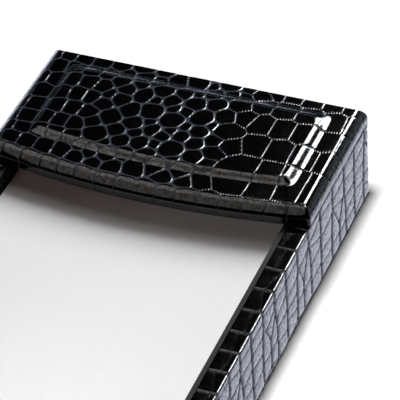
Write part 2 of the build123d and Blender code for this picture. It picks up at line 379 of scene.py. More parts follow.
paper = fibrous("memo_paper", low=(0.83, 0.83, 0.82), high=(0.90, 0.90, 0.89), fineness=1500.0, stretch=0.35,
                strength=0.10, depth=0.00003, Roughness=0.8)
liner = fibrous("smooth_liner", low=(0.006, 0.006, 0.007), high=(0.016, 0.016, 0.018), fineness=900.0,
                stretch=0.6, strength=0.15, depth=0.00004, Roughness=0.6, Specular_IOR_Level=0.2)
lining = fibrous("lid_cloth", low=(0.018, 0.018, 0.020), high=(0.045, 0.045, 0.048), fineness=2600.0,
                 stretch=0.12, strength=0.6, depth=0.0001, Roughness=0.9, Sheen_Weight=0.2)
felt = fibrous("base_felt", low=(0.010, 0.010, 0.012), high=(0.032, 0.032, 0.035), fineness=1300.0,
               stretch=0.3, strength=0.8, depth=0.0003, Roughness=1.0, Sheen_Weight=0.4)
fibreboard = fibrous("fibreboard", low=(0.40, 0.28, 0.18), high=(0.56, 0.42, 0.29), fineness=700.0,
                     stretch=0.5, strength=0.3, depth=0.0001, Roughness=0.85)
beech = fibrous("beech_tongue", low=(0.58, 0.42, 0.26), high=(0.74, 0.57, 0.38), fineness=500.0,
                stretch=0.08, strength=0.2, depth=0.0001, Roughness=0.7)
foam = fibrous("pad_foam", low=(0.62, 0.60, 0.52), high=(0.74, 0.72, 0.64), fineness=1800.0,
               stretch=1.0, strength=0.7, depth=0.0002, Roughness=0.95)
card = fibrous("grey_card", low=(0.38, 0.36, 0.32), high=(0.48, 0.45, 0.41), fineness=900.0,
               stretch=0.4, strength=0.2, depth=0.0001, Roughness=0.9)
print("finishes:", [m.name for m in (paper, liner, lining, felt, fibreboard, beech, foam, card)])

# %% [markdown]
# The white floor does two things. To the eye it is a plain matt surface with a soft shadow. To the
# leather's reflections it is an even pale glow, so that the walls mirror a bright table right down
# to their foot. A Light Path node chooses between the two.

# %% White floor
FLOOR_WHITE = (0.9, 0.9, 0.9, 1)
MIRRORED_COLOUR, MIRRORED_STRENGTH = (0.80, 0.82, 0.98, 1), 1.16
white_floor, tree, shader, _ = new_material("white_floor", Base_Color=FLOOR_WHITE, Roughness=0.9,
                                            Specular_IOR_Level=0.1)
glow = add_node(tree, "ShaderNodeEmission", {"Color": MIRRORED_COLOUR, "Strength": MIRRORED_STRENGTH})
mirrored = add_node(tree, "ShaderNodeLightPath").outputs["Is Glossy Ray"]
mixed = add_node(tree, "ShaderNodeMixShader", {"Fac": mirrored, 1: shader.outputs["BSDF"],
                                               2: glow.outputs["Emission"]})
tree.links.new(mixed.outputs["Shader"], tree.nodes["Material Output"].inputs["Surface"])
floor.data.materials.append(white_floor)
print("finish:", white_floor.name)

# %% [markdown]
# ## The embossing
# A plate pressed scales into the leather: rows of soft squares on the lid's left, round scales of
# many sizes in its middle, and straight rectangular ones on its right with tiny pleats along their
# long grooves. The walls have tall strips cut into short scales. Scales meet halfway between their
# middles, which is a Voronoi pattern. Here the distance to the nearest groove is worked out for
# each point of a mesh, with a soft minimum, so that the scales have round corners, and weights let
# large scales push small ones back. A bump texture could shade such grooves, but as real relief they
# also break the outline and the white lines along the edges.

# %% Distance to the nearest groove
NEIGHBOURS = 9
CORNER_EDGES = 3
CHUNK = 40000
SHARP = 9.0
TINY = 1e-9


def smooth_step(low, high, values):
    """0 below low, 1 above high, and an even S between."""
    share = np.clip((np.asarray(values, float) - low) / (high - low), 0, 1)
    return share * share * (3 - 2 * share)


def nearest_groove(points, middles, sizes, softness):
    """Each point's distance in mm to its scale's edge, how squarely that edge crosses the first axis,
    and the way to it."""
    distance, across, way = np.empty(len(points)), np.empty(len(points)), np.empty((len(points), 2))
    for start in range(0, len(points), CHUNK):
        rows = slice(start, start + CHUNK)
        gap = points[rows, None, :] - middles[None]
        power = (gap ** 2).sum(2) - sizes[None] ** 2
        near = np.argpartition(power, NEIGHBOURS, axis=1)[:, :NEIGHBOURS]
        reach = np.take_along_axis(power, near, 1)
        order = np.argsort(reach, axis=1)
        near, reach = np.take_along_axis(near, order, 1), np.take_along_axis(reach, order, 1)
        apart = middles[near[:, 1:]] - middles[near[:, :1]]
        length = np.linalg.norm(apart, axis=2)
        margin = (reach[:, 1:] - reach[:, :1]) / (2 * length)
        pull = np.exp(-softness[rows, None] * (margin - margin.min(1, keepdims=True)))
        strongest = np.partition(pull, -CORNER_EDGES, axis=1)[:, -CORNER_EDGES:].sum(1)
        distance[rows] = margin.min(1) - np.log(strongest) / softness[rows]
        across[rows] = (pull * (apart[..., 0] / length) ** 2).sum(1) / pull.sum(1)
        closest = margin.argmin(1)[:, None]
        unit = np.take_along_axis(apart / length[..., None], closest[..., None], 1)[:, 0]
        way[rows] = np.take_along_axis(margin, closest, 1) * unit
    return distance, across, way


def onto_grooves(points, middles, sizes, steps):
    """Shifts that bring the grid points nearest to a groove onto its middle line, so that it stays sharp."""
    _, _, way = nearest_groove(points, middles, sizes, np.full(len(points), SHARP))
    length = np.linalg.norm(way, axis=1, keepdims=True)
    reach = (np.abs(way) / np.maximum(length, TINY) * steps).max(1, keepdims=True) / 2
    return np.where(length < reach, way, 0.0)


print("embossing: looks at", NEIGHBOURS, "scales round each point")

# %% [markdown]
# ## A box as a skin
# Each skin is a box whose faces are fine grids that share their edges. One function numbers the
# points of such a box and makes its quads; what is bent, rounded or pressed in comes after.

# %% Box lattice
def box_lattice(counts, open_bottom=False):
    """The steps (i, j, k) of each surface point of a gridded box, and its quads, facing outward."""
    inside = np.zeros([n + 1 for n in counts], bool)
    inside[1:-1, 1:-1, (0 if open_bottom else 1):-1] = True
    number = np.cumsum(~inside.ravel()).reshape(inside.shape) - 1
    faces = [number[:, :, -1], number[-1], number[0].T, number[:, -1].T, number[:, 0]]
    if not open_bottom:
        faces.append(number[:, :, 0].T)
    quads = [np.stack([f[:-1, :-1], f[1:, :-1], f[1:, 1:], f[:-1, 1:]], -1).reshape(-1, 4) for f in faces]
    return np.argwhere(~inside), np.concatenate(quads), number


def mesh_piece(name, points_mm, quads, material, extra_faces=()):
    """A smooth mesh object from points in millimetres."""
    mesh = bpy.data.meshes.new(name)
    faces = quads.tolist() + [list(f) for f in extra_faces]
    mesh.from_pydata((np.asarray(points_mm) * MM).tolist(), [], faces)
    mesh.polygons.foreach_set("use_smooth", np.ones(len(mesh.polygons), bool))
    mesh.materials.append(material)
    piece = bpy.data.objects.new(name, mesh)
    bpy.context.scene.collection.objects.link(piece)
    return piece


def press_in(piece, relief_mm, groove_mask, bare_mask=0.0):
    """Moves each point along its normal by the relief, and keeps the masks for the finish."""
    mesh = piece.data
    count = len(mesh.vertices)
    normals, places = np.empty(count * 3), np.empty(count * 3)
    mesh.vertex_normals.foreach_get("vector", normals)
    mesh.vertices.foreach_get("co", places)
    places += normals * np.repeat(relief_mm * MM, 3)
    mesh.vertices.foreach_set("co", places)
    for label, values in (("groove", groove_mask), ("lacquer", (1 - groove_mask) * (1 - bare_mask))):
        mask = mesh.attributes.new(label, "FLOAT", "POINT")
        mask.data.foreach_set("value", values.astype(np.float32))
    mesh.update()


print("box lattice ready")

# %% [markdown]
# ## Wall skins
# Each wall is a plank wrapped in leather: the side planks run the whole length and show their
# ends, the back and front planks stand between them. The front plank's top dips in one arc for a
# thumb. A plank is described by its own axes: along it, inward from its outer face, and up, so
# that one function serves all four. The skin is hollow for its board, and a thin lip at its foot
# hides the edge of the felt below.

# %% Wall scales
FRONT_STRIP, BACK_STRIP, SCALE_HEIGHT = 9.6, 12.2, 6.3
STRIP_LENGTH_RANGE, STRIP_JITTER = (0.86, 1.14), 0.3
FIRST_SCALE_RANGE, SCALE_HEIGHT_RANGE = (0.6, 1.6), (0.75, 1.35)
FORK_EVERY, FORK_HEIGHT, FORK_SHARE = 3, 15.0, 0.26
SPARE_STRIPS, SPARE_SCALES = 2, 3


def wall_scales(length, height, seed):
    """Middles of the scales of one wall: upright strips of short scales, some forked near the foot."""
    chance = np.random.default_rng(seed)
    middles = []
    along, strip = -SPARE_STRIPS * BACK_STRIP, 0
    while along < length + SPARE_STRIPS * BACK_STRIP:
        strip_length = FRONT_STRIP + (BACK_STRIP - FRONT_STRIP) * min(max(along / length, 0.0), 1.0)
        up_wall = -SCALE_HEIGHT * chance.uniform(*FIRST_SCALE_RANGE)
        while up_wall < height + SPARE_SCALES * SCALE_HEIGHT:
            forked = strip % FORK_EVERY == 1 and up_wall < FORK_HEIGHT
            for side in ((-FORK_SHARE, FORK_SHARE) if forked else (0.0,)):
                jitter = chance.uniform(-STRIP_JITTER, STRIP_JITTER)
                middles.append((along + side * strip_length + jitter, up_wall))
            up_wall += SCALE_HEIGHT * chance.uniform(*SCALE_HEIGHT_RANGE)
        along += strip_length * chance.uniform(*STRIP_LENGTH_RANGE)
        strip += 1
    return np.array(middles)


print("wall strips from", FRONT_STRIP, "to", BACK_STRIP, "mm long")

# %% Wall plank
HOLLOW_COUNTS = (30, 2, 2)


def plank(node, along, inward):
    """A wall piece's first corner, its axes as rows, and its sizes along them, in mm."""
    low, high = [np.array(corner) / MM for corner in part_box(node)]
    start = np.where(np.array(along) + np.array(inward) < 0, high, low)
    start[2] = low[2]
    axes = np.array([along, inward, (0, 0, 1)], float)
    return start, axes, np.abs(axes @ (high - low))


def board_hollow(board, along, inward, dip):
    """The inside of a wall's skin: a coarse box the size of its board, facing inward."""
    start, axes, (length, thickness, height) = plank(board, along, inward)
    steps, quads, _ = box_lattice(HOLLOW_COUNTS)
    share = steps / np.array(HOLLOW_COUNTS)
    top = height if dip is None else dip(share[:, 0] * length, height)
    shape = np.stack([share[:, 0] * length, share[:, 1] * thickness, share[:, 2] * top], 1)
    return start + shape @ axes, quads[:, ::-1]


print("hollows for the boards:", HOLLOW_COUNTS, "steps")

# %% [markdown]
# A wall's grid starts flat. Its points are first moved onto the grooves, because a groove between
# two grid lines would look like a saw blade, and then the edges are rounded. The pattern is
# squeezed in height while distances are measured, which keeps the upright grooves straight.

# %% Wall shape
WALL_STEP, FEWEST_STEPS = 0.4, 2
EDGE_SHARE = 0.06
SQUEEZE = np.array([1.0, 0.45])
OUTER_RADIUS, INNER_RADIUS, FOOT_RADIUS, BUTT_RADIUS, END_RADIUS = 0.7, 0.3, 0.3, 0.2, 0.6
FOOT_LIP, LIP_THICKNESS, LIP_TURN, LIP_HEIGHT = 0.9, 1.2, 0.4, 4.0


def rounded(points, low, high, low_radius, high_radius):
    """Rounds a box's edges: what lies past the inner box is drawn onto an ellipse of the faces' radii."""
    core = np.clip(points, low + low_radius, high - high_radius)
    radius = np.where(points < core, low_radius, high_radius)
    past = (points - core) / radius
    reach = np.linalg.norm(past, axis=1, keepdims=True)
    return core + radius * past / np.where(reach > 0, reach, 1)


def wall_shape(size, top, steps, share, middles, free_ends):
    """A wall's points on its flat faces, lined up with the grooves, and the same with rounded edges."""
    length, thickness, height = size
    flat = share * np.array([length, thickness, 1.0])
    flat[:, 2] *= top
    inner_steps = (share > EDGE_SHARE) & (share < 1 - EDGE_SHARE)
    open_face = (steps[:, 1] == 0) & inner_steps[:, 0] & inner_steps[:, 2]
    grid_steps = WALL_STEP * np.stack([np.ones(len(top)), top / height], 1)[open_face]
    outer_plan = flat[np.ix_(open_face, [0, 2])] * SQUEEZE
    shift = onto_grooves(outer_plan, middles, np.zeros(len(middles)), grid_steps * SQUEEZE)
    flat[np.ix_(open_face, [0, 2])] += shift / SQUEEZE
    end = END_RADIUS if free_ends else BUTT_RADIUS
    high_limit = np.stack([np.full(len(top), length), np.full(len(top), thickness), top], 1)
    shape = rounded(flat, np.zeros(3), high_limit, np.array([end, OUTER_RADIUS, FOOT_RADIUS]),
                    np.array([end, INNER_RADIUS, OUTER_RADIUS]))
    to_end = np.minimum(flat[:, 0], length - flat[:, 0])
    outside_gap = np.minimum(shape[:, 1], to_end) if free_ends else shape[:, 1]
    lip = 1 - smooth_step(LIP_THICKNESS - LIP_TURN, LIP_THICKNESS, outside_gap)
    shape[:, 2] -= FOOT_LIP * lip * (1 - smooth_step(0.0, LIP_HEIGHT, shape[:, 2]))
    return flat, shape


print("wall grid of", WALL_STEP, "mm, foot lip of", FOOT_LIP, "mm")

# %% [markdown]
# The scales run from the outer face over the top edge and round the free ends without a break, so
# each point gets a place on the unfolded leather. Upright grooves are deep and dull, lengthwise ones
# are fine lines, and the top has been pressed more lightly than the face.

# %% Wall relief
WALL_GROOVE_WIDTH, WALL_GROOVE_DEPTH = 0.75, 0.85
LENGTHWISE_WIDTH_SHARE, LENGTHWISE_DEPTH_SHARE, LENGTHWISE_DULL_SHARE = 0.5, 0.3, 0.55
TOP_WIDTH_SHARE, TOP_DEPTH_SHARE, TOP_DULL_SHARE = 0.55, 0.35, 0.3
WALL_DOME, WALL_DOME_REACH, SCALE_DOME = 0.22, 1.6, 0.05
WALL_SOFTNESS, FAR_AWAY = 3.0, 9.0
EDGE_FADE, BUTT_ALLOWANCE = 1.6, 1.0


def unfolded(flat, on_face, on_top, on_end, at_start):
    """Each point's place on the leather before it was folded over the wall's top and ends."""
    spread = np.where(on_end[:, None], flat[:, [0, 2]], 0.0)
    spread[:, 0] += np.where(on_end, flat[:, 1] * np.where(at_start, -1, 1), 0)
    spread[on_face, 0] = flat[on_face, 0]
    spread[on_face, 1] = flat[on_face, 2] + np.where(on_top, flat[:, 1], 0)[on_face]
    return spread


def wall_relief(flat, steps, counts, length, top, middles, free_ends):
    """How deep each point of a wall is pressed in, and how dull it is."""
    on_outer, on_top = steps[:, 1] == 0, steps[:, 2] == counts[2]
    at_start, at_end = steps[:, 0] == 0, steps[:, 0] == counts[0]
    on_end = (at_start | at_end) & ~on_outer & ~on_top & free_ends
    shown = on_outer | on_top | on_end
    spread = unfolded(flat, on_outer | on_top, on_top, on_end, at_start)
    to_end = np.minimum(flat[:, 0], length - flat[:, 0])
    fade = np.ones(len(flat))
    fade[on_top] *= smooth_step(0.0, EDGE_FADE, to_end[on_top] + (0.0 if free_ends else BUTT_ALLOWANCE))
    fade[on_end] *= smooth_step(0.0, EDGE_FADE, (top - flat[:, 2])[on_end])

    distance, across = np.full(len(flat), FAR_AWAY), np.zeros(len(flat))
    softness = np.full(shown.sum(), WALL_SOFTNESS)
    near, turn, _ = nearest_groove(spread[shown] * SQUEEZE, middles, np.zeros(len(middles)), softness)
    across[shown] = turn
    distance[shown] = near / np.sqrt(turn + (1 - turn) * SQUEEZE[1] ** 2)
    lengthwise = np.where(on_outer, LENGTHWISE_DEPTH_SHARE, 0.0)
    depth = WALL_GROOVE_DEPTH * (lengthwise + (1 - lengthwise) * across) * fade
    depth *= np.where(on_outer, 1, TOP_DEPTH_SHARE)
    width = WALL_GROOVE_WIDTH * (LENGTHWISE_WIDTH_SHARE + (1 - LENGTHWISE_WIDTH_SHARE) * across)
    width *= np.where(on_outer, 1, TOP_WIDTH_SHARE)
    in_groove = 1 - smooth_step(0.0, 1.0, distance / width)
    dome = np.where(on_outer, WALL_DOME, SCALE_DOME) * np.exp(-np.maximum(distance, 0) / WALL_DOME_REACH)
    relief = -depth * in_groove - dome * fade
    dull = in_groove * fade * (LENGTHWISE_DULL_SHARE + (1 - LENGTHWISE_DULL_SHARE) * across)
    dull *= np.where(on_outer, 1, TOP_DULL_SHARE)
    return np.where(shown, relief, 0.0), np.where(shown, dull, 0.0)


print("wall grooves", WALL_GROOVE_WIDTH, "mm wide and", WALL_GROOVE_DEPTH, "mm deep")


# %% Wall skin
def wall_skin(name, node, board, along, inward, free_ends, seed, dip=None):
    """A leather-wrapped plank over a CAD wall, with scales pressed in where the leather shows."""
    start, axes, size = plank(node, along, inward)
    length, _, height = size
    counts = [max(FEWEST_STEPS, round(side / WALL_STEP)) for side in size]
    steps, quads, _ = box_lattice(counts)
    share = steps / np.array(counts)
    top = np.full(len(share), height) if dip is None else dip(share[:, 0] * length, height)
    middles = wall_scales(length, height, seed) * SQUEEZE
    flat, shape = wall_shape(size, top, steps, share, middles, free_ends)
    relief, dull = wall_relief(flat, steps, counts, length, top, middles, free_ends)
    hollow, hollow_quads = board_hollow(board, along, inward, dip)
    points = np.concatenate([start + shape @ axes, hollow])
    piece = mesh_piece(name, points, np.concatenate([quads, hollow_quads + len(shape)]), leather)
    unseen = np.zeros(len(hollow))
    press_in(piece, np.concatenate([relief, unseen]), np.concatenate([dull, unseen]))
    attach(piece, "holder")
    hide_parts(node)
    print(name, len(piece.data.polygons), "faces")


print("wall skin ready")

# %% Thumb dip
FRONT_DIP = 9.0


def thumb_dip(along, height):
    """Height of the front plank's top: one arc from its ends to its middle."""
    half = along.max() / 2
    radius = (half ** 2 + FRONT_DIP ** 2) / (2 * FRONT_DIP)
    return height - FRONT_DIP + radius - np.sqrt(radius ** 2 - (along - half) ** 2)


print("front wall dips by", FRONT_DIP, "mm")

# %% Four walls
TO_RIGHT, TO_LEFT, TO_BACK, TO_FRONT = (1, 0, 0), (-1, 0, 0), (0, 1, 0), (0, -1, 0)
wall_skin("right_wall_skin", "right_wall_leather", "right_wall_board", TO_BACK, TO_LEFT,
          free_ends=True, seed=11)
wall_skin("left_wall_skin", "left_wall_leather", "left_wall_board", TO_FRONT, TO_RIGHT,
          free_ends=True, seed=23)
wall_skin("back_wall_skin", "back_wall_leather", "back_wall_board", TO_LEFT, TO_FRONT,
          free_ends=False, seed=37)
wall_skin("front_wall_skin", "front_wall_leather", "front_wall_board", TO_RIGHT, TO_BACK,
          free_ends=False, seed=41, dip=thumb_dip)

# %% [markdown]
# ## Lid skin
# The lid is a thin padded board: upright sides, a roll that turns over a soft edge, a flat border
# and a raised panel with easy slopes. Its front bows out. The skin is a box lattice again, whose
# top face is bent to that height field; the lattice lines crowd together on the rolls. Under it
# the leather turns in as a hem and closes round the board, the pad and the panel. The real pad is
# thin and the leather tight, so a height field gives a truer shape than a cloth simulation would.

# %% Lid outline
lid_low, lid_high = [np.array(corner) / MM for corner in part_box("lid_leather")]
LID_HALF, LID_BACK, LID_FLOOR = lid_high[0], lid_high[1], lid_low[2]
LID_BOW = 6.2
LID_FRONT = lid_low[1]
BOW_RADIUS = (LID_HALF ** 2 + LID_BOW ** 2) / (2 * LID_BOW)
BOW_MIDDLE = LID_FRONT + BOW_RADIUS
PANEL_RISE = 1.4
CREASE_HEIGHT = lid_high[2] - PANEL_RISE
ROLL_WIDTH, BACK_ROLL_WIDTH, FRONT_ROLL_WIDTH, ROLL_DROP = 3.8, 1.6, 5.2, 3.2
ROLL_POWER = 1.5


def front_edge(x, inset=0.0):
    """Y of the lid's bowed front edge, drawn in by an inset."""
    return BOW_MIDDLE - np.sqrt((BOW_RADIUS - inset) ** 2 - np.asarray(x) ** 2)


print("lid front from", round(float(front_edge(0)), 2), "to", round(float(front_edge(LID_HALF)), 2))

# %% Lid lattice
ROLL_STEPS = 14
FINE_FROM = 12.0
COARSE_STEP, FINE_STEP, DEPTH_STEP = 0.38, 0.27, 0.34
SIDE_STEPS = 8

roll_angle = np.linspace(0, math.pi / 2, ROLL_STEPS + 1)
roll_out = np.sin(roll_angle) ** (2 / ROLL_POWER)
roll_fall = 1 - np.cos(roll_angle).clip(0, 1) ** (2 / ROLL_POWER)
flat_half = LID_HALF - ROLL_WIDTH
coarse_lines = np.linspace(-flat_half, FINE_FROM, round((flat_half + FINE_FROM) / COARSE_STEP))[:-1]
fine_lines = np.linspace(FINE_FROM, flat_half, round((flat_half - FINE_FROM) / FINE_STEP))
roll_lines = flat_half + ROLL_WIDTH * roll_out[1:]
x_lines = np.concatenate([-roll_lines[::-1], coarse_lines, fine_lines, roll_lines])
depth_steps = round((LID_BACK - LID_FRONT - BACK_ROLL_WIDTH - FRONT_ROLL_WIDTH) / DEPTH_STEP)
counts = [len(x_lines) - 1, depth_steps + 2 * ROLL_STEPS, SIDE_STEPS]
steps, quads, number = box_lattice(counts, open_bottom=True)
column, row, level = steps.T

x = x_lines[column]
front = front_edge(x)
middle_share = np.clip((row - ROLL_STEPS) / depth_steps, 0, 1)
past_front = np.clip(ROLL_STEPS - row, 0, ROLL_STEPS)
past_back = np.clip(row - ROLL_STEPS - depth_steps, 0, ROLL_STEPS)
y_low, y_high = front + FRONT_ROLL_WIDTH, LID_BACK - BACK_ROLL_WIDTH
y = y_low + middle_share * (y_high - y_low)
y = np.where(past_front > 0, front + FRONT_ROLL_WIDTH * (1 - roll_out[past_front]), y)
y = np.where(past_back > 0, LID_BACK - BACK_ROLL_WIDTH * (1 - roll_out[past_back]), y)
print("lid lattice:", counts, len(steps), "points")

# %% [markdown]
# The scales are laid out on the leather before it is folded over the edges, so each point gets a
# flat place: its plan on the top, and the length along the roll and down the side beyond it. The
# front is straightened too, so that the last row of scales follows the bowed crease.

# %% Lid unrolled
HEM_TURN = 0.6
CREASE_ROW, STRAIGHT_FROM = LID_FRONT + FRONT_ROLL_WIDTH, 47.0


def arc_length(width):
    """Length along the roll at each of its steps."""
    pieces = np.hypot(np.diff(width * roll_out), np.diff(ROLL_DROP * roll_fall))
    return np.concatenate([[0], np.cumsum(pieces)])


edge_height = CREASE_HEIGHT - ROLL_DROP
level_height = np.concatenate([[LID_FLOOR], np.linspace(LID_FLOOR + HEM_TURN, edge_height, SIDE_STEPS)])
side_arc, back_arc, front_arc = [arc_length(w) for w in (ROLL_WIDTH, BACK_ROLL_WIDTH, FRONT_ROLL_WIDTH)]
down_side = edge_height - level_height[level]
past_right = np.clip(column - (counts[0] - ROLL_STEPS), 0, ROLL_STEPS)
past_left = np.clip(ROLL_STEPS - column, 0, ROLL_STEPS)
on_side = (column == 0) | (column == counts[0])
on_front_or_back = ((row == 0) | (row == counts[1])) & ~on_side
flat_x = np.clip(x, -flat_half, flat_half) + side_arc[past_right] - side_arc[past_left]
flat_x += np.where(on_side, down_side, 0) * np.sign(x)
flat_y = np.clip(y, y_low, y_high) + back_arc[past_back] - front_arc[past_front]
flat_y += np.where(on_front_or_back, down_side, 0) * np.where(row == 0, -1, 1)
flat_y -= (front - LID_FRONT) * (1 - smooth_step(CREASE_ROW, STRAIGHT_FROM, flat_y))
lid_flat = np.stack([flat_x, flat_y], 1)
print("leather cut:", np.round(np.ptp(lid_flat, axis=0), 1), "mm")

# %% [markdown]
# Four families of scales fill the lid. Straight rows on the right and one row along the front roll
# come first, then the staggered squares on the left. The round scales between them are thrown in at
# random, the largest first, and each stays only where there is room for it.

# %% Lid scales
ROWS_Y = (98.0, 87.0, 76.2, 65.6, 54.4, 37.0, 20.0)
ROW_SIZES = (3.2, 3.2, 3.2, 3.2, 3.2, 9.68, 4.72)
ROW_STARTS = (25.0, 27.0, 25.9, 29.3, 31.4, 31.8, 25.4)
ROW_PITCHES = (8.0, 7.5, 8.7, 8.1, 8.8, 9.0, 7.8)
SCALES_IN_ROW = 8
FIELD_LEFT, LEFT_UNTIL, RIGHT_FROM, FIELD_BACK = -80.0, -30.0, 21.0, 104.0
ROLL_ROW, ROLL_ROW_SIZE, ROLL_PITCH = 20.0, 5.6, 7.4
LEFT_FIRST_ROW, LEFT_ROW_PITCH, LEFT_PITCH, LEFT_STAGGER, LEFT_SIZE = 31.4, 7.6, 6.6, 1.4, 3.0
ROW_DRIFT, LOOSE_DRIFT, DRIFT_BACK_SHARE = 0.5, 0.9, 0.6
SOFT_FROM, SOFT_LEFT_SPARE, SOFT_RIGHT_SPARE = 29.5, 1, 2
SOFT_RADII = (4.2, 3.4, 2.9, 2.4, 1.9)
SOFT_TRIES = (16, 150, 800, 1800, 3000)
PACKING_SHARE = 0.94
chance = np.random.default_rng(7)

scales = []
for row_y, size, first, pitch in zip(ROWS_Y, ROW_SIZES, ROW_STARTS, ROW_PITCHES):
    for place_in_row in range(SCALES_IN_ROW):
        drift = chance.uniform(-ROW_DRIFT, ROW_DRIFT, 2)
        scales.append((first + pitch * place_in_row + drift[0], row_y + DRIFT_BACK_SHARE * drift[1], size))
for roll_x in np.arange(FIELD_LEFT, RIGHT_FROM, ROLL_PITCH):
    drift = chance.uniform(-LOOSE_DRIFT, LOOSE_DRIFT, 2)
    scales.append((roll_x + drift[0], ROLL_ROW, ROLL_ROW_SIZE))
for row_number, row_y in enumerate(np.arange(LEFT_FIRST_ROW, FIELD_BACK, LEFT_ROW_PITCH)):
    for left_x in np.arange(FIELD_LEFT + LEFT_STAGGER * (row_number % 2), LEFT_UNTIL, LEFT_PITCH):
        drift = chance.uniform(-LOOSE_DRIFT, LOOSE_DRIFT, 2)
        scales.append((left_x + drift[0], row_y + DRIFT_BACK_SHARE * drift[1], LEFT_SIZE))
soft_low = (LEFT_UNTIL - SOFT_LEFT_SPARE, SOFT_FROM)
soft_high = (RIGHT_FROM + SOFT_RIGHT_SPARE, FIELD_BACK)
for radius, tries in zip(SOFT_RADII, SOFT_TRIES):
    for spot in chance.uniform(soft_low, soft_high, (tries, 2)):
        taken = np.array(scales)
        gap = np.hypot(taken[:, 0] - spot[0], taken[:, 1] - spot[1])
        room_left = gap - PACKING_SHARE * (taken[:, 2] + radius)
        if room_left.min() > 0:
            scales.append((*spot, radius))
lid_scales = np.array(scales)
print("lid scales:", len(lid_scales))

# %% Lid points onto the grooves
flat_top = (level == SIDE_STEPS) & (past_right + past_left + past_front + past_back == 0)
x_step = np.where(x < FINE_FROM, COARSE_STEP, FINE_STEP)[flat_top]
grid_steps = np.stack([x_step, np.full(len(x_step), DEPTH_STEP)], 1)
shift = onto_grooves(lid_flat[flat_top], lid_scales[:, :2], lid_scales[:, 2], grid_steps)
lid_flat[flat_top] += shift
x[flat_top] += shift[:, 0]
y[flat_top] += shift[:, 1]
front = front_edge(x)
print("points moved onto grooves:", int((np.abs(shift).sum(1) > 0).sum()))

# %% [markdown]
# The height of the top: the roll falls away as a slightly flattened quarter ellipse by the nearest
# edge, which leaves a mitre at each corner, and the panel rises in one soft S. The panel's corners
# are round because its distance to the three edges is a soft minimum. The outline's own corners are
# turned on a small radius afterwards, in plan.

# %% Lid heights
SIDE_ROLL_POWER, POWER_BLEND = 1.42, 0.3
PANEL_INSETS = (11.2, 8.0, 13.8)
PANEL_EASE = (1.0, 0.79, 1.0)
SLOPE_BEFORE, SLOPE_AFTER = 1.2, 3.2
PANEL_SOFTNESS, FAR_INSET = 0.75, 30

side_gap, back_gap, front_gap = LID_HALF - np.abs(x), LID_BACK - y, y - front
side_share = side_gap / ROLL_WIDTH
end_share = np.minimum(back_gap / BACK_ROLL_WIDTH, front_gap / FRONT_ROLL_WIDTH)
roll_share = np.clip(np.minimum(side_share, end_share), 0, 1)
by_side = smooth_step(-POWER_BLEND, POWER_BLEND, end_share - side_share)
power = ROLL_POWER + (SIDE_ROLL_POWER - ROLL_POWER) * by_side
roll_rest = (1 - (1 - roll_share) ** power) ** (1 / power)
top_height = CREASE_HEIGHT - ROLL_DROP * (1 - roll_rest)
inset = (np.stack([side_gap, back_gap, front_gap], 1) - PANEL_INSETS) * PANEL_EASE
inset = np.clip(inset, -FAR_INSET, FAR_INSET)
into_panel = -np.log(np.exp(-PANEL_SOFTNESS * inset).sum(1)) / PANEL_SOFTNESS
top_height += PANEL_RISE * smooth_step(-SLOPE_BEFORE, SLOPE_AFTER, into_panel)
z = np.where(level == SIDE_STEPS, top_height, level_height[level])
print("lid top from", round(edge_height, 2), "to", round(float(z.max()), 2))

# %% Rounded corners of the lid
CORNER_RADIUS = 0.7

end_gap = np.minimum(front_gap, back_gap)
nearer, farther = np.minimum(side_gap, end_gap), np.maximum(side_gap, end_gap)
arc = CORNER_RADIUS - nearer
turned = (arc > 0) & (farther - nearer < arc)
angle = math.pi / 4 * (1 - (farther - nearer) / np.where(turned, arc, 1))
new_near = np.where(turned, CORNER_RADIUS - arc * np.cos(angle), nearer)
new_far = np.where(turned, CORNER_RADIUS - arc * np.sin(angle), farther)
side_is_near = side_gap <= end_gap
new_side = np.where(side_is_near, new_near, new_far)
new_end = np.where(side_is_near, new_far, new_near)
at_front = front_gap < back_gap
hem = np.where(level == 0, HEM_TURN, 0.0)
plan_x = np.sign(x) * (LID_HALF - np.maximum(new_side, hem))
plan_y = np.where(at_front, front + np.maximum(new_end, hem), LID_BACK - np.maximum(new_end, hem))
lid_points = np.stack([plan_x, plan_y, z], 1)
print("corner points turned:", int(turned.sum()))

# %% [markdown]
# The relief of the lid changes from left to right: soft deep grooves first, then finer straight ones
# with pleats across them. Where a groove crosses the panel's right slope, the leather creases, so
# the groove is wider and deeper there and breaks the white line of the slope.

# %% Lid relief
STRAIGHT_ZONE, ROUND_ZONE = (13.0, 24.0), (-34.0, -24.0)
SOFT_GROOVE_WIDTH, STRAIGHT_GROOVE_WIDTH = 0.36, 0.30
SOFT_GROOVE_DEPTH, STRAIGHT_GROOVE_DEPTH = 0.10, 0.058
LEFT_SOFTNESS, ROUND_SOFTNESS, STRAIGHT_SOFTNESS = 2.8, 1.9, 5.0
DOME_REACH = 2.2
PLEAT_PITCH, PLEAT_DEPTH, PLEAT_REACH, PLEAT_GLOSS = 0.95, 0.13, 0.42, 0.75
SLOPE_MIDDLE, SLOPE_REACH, SLOPE_WIDENING, SLOPE_DEEPENING = 1.0, 2.2, 2.4, 3.2
FOOT_FADE = (-0.2, 0.9)
MASK_POWER = 2.2

